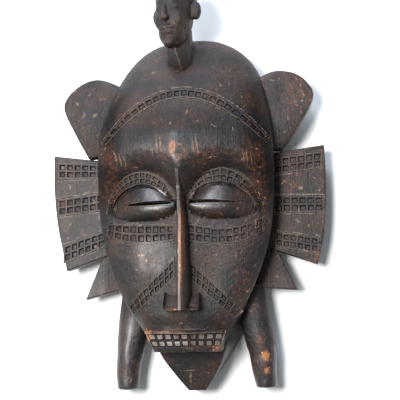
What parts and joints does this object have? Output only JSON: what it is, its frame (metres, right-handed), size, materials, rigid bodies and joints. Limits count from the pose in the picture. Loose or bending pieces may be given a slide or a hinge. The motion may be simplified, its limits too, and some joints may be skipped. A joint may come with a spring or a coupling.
{
  "type": "kpelie face mask",
  "caption": "Carved wooden face mask with a domed forehead, side flanges, two legs and a small head on its crown, hollow behind for the wearer's face.",
  "frame": {"origin": "centre of the bounding box, at its bottom, on the plane of the flat back rim that the mask lies on", "axes": "+Z out of the face, +Y from the chin to the small head on the crown, +X to the viewer's right"},
  "size_m": [0.249, 0.368, 0.09],
  "materials": {
    "stained_hardwood": "dark brown stain, satin, worn on the edges"
  },
  "bodies": {
    "root": {"mask": "stained_hardwood"}
  },
  "joints": []
}
